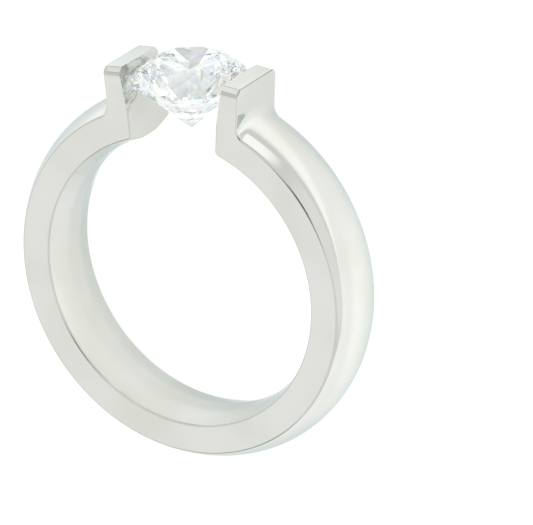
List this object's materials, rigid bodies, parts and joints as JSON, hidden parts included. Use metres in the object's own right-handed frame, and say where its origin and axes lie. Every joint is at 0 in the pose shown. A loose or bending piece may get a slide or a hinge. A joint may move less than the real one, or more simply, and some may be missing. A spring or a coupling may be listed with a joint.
{
  "type": "tension set ring",
  "caption": "Tension set finger ring: a domed, comfort-fit band whose raised end posts grip a round brilliant cut stone by its girdle.",
  "frame": {"origin": "centre of the finger hole, halfway across the width of the band", "axes": "+Z runs along the finger, up out of the side face that faces the camera; +Y runs from the centre of the hole to the diamond; +X is to the right of that face. The ring lies on its other side."},
  "size_m": [0.023, 0.0249, 0.007],
  "materials": {
    "white_gold": "bright polish on the dome and the posts' outer and top faces, fine satin on the flat side faces and the inner faces",
    "diamond": "clear and colourless, flat polished facets and a bruted girdle"
  },
  "bodies": {
    "root": {"band": "white_gold", "diamond": "diamond"}
  },
  "joints": []
}
